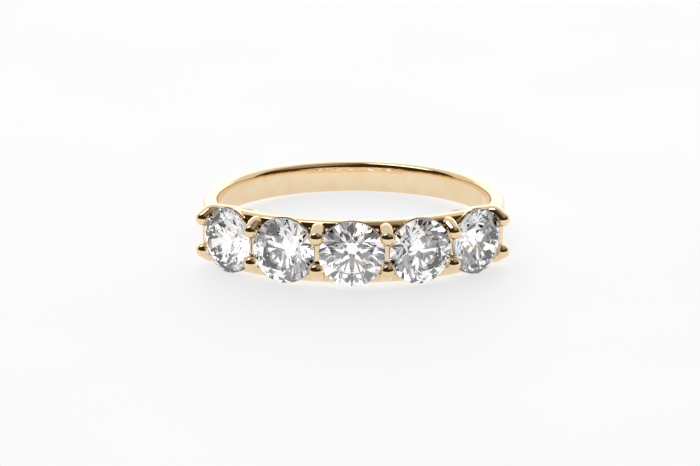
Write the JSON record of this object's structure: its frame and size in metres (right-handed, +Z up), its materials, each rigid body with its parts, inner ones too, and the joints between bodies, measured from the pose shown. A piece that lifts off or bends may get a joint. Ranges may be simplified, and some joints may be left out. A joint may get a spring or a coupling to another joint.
{
  "type": "five-stone half eternity ring",
  "caption": "Slim gold finger ring with a curved row of round brilliant-cut stones held by shared round claws, lying on its side.",
  "frame": {"origin": "centre of the finger hole", "axes": "+Z up from the surface that the ring lies on, -Y towards the row of stones, +X to the right of someone who faces the stones"},
  "size_m": [0.019, 0.0209, 0.0043],
  "materials": {
    "yellow_gold": "polished",
    "diamond": "polished"
  },
  "bodies": {
    "root": {"gold_mount": "yellow_gold", "stone_1": "diamond", "stone_2": "diamond", "stone_3": "diamond", "stone_4": "diamond", "stone_5": "diamond"}
  },
  "joints": []
}
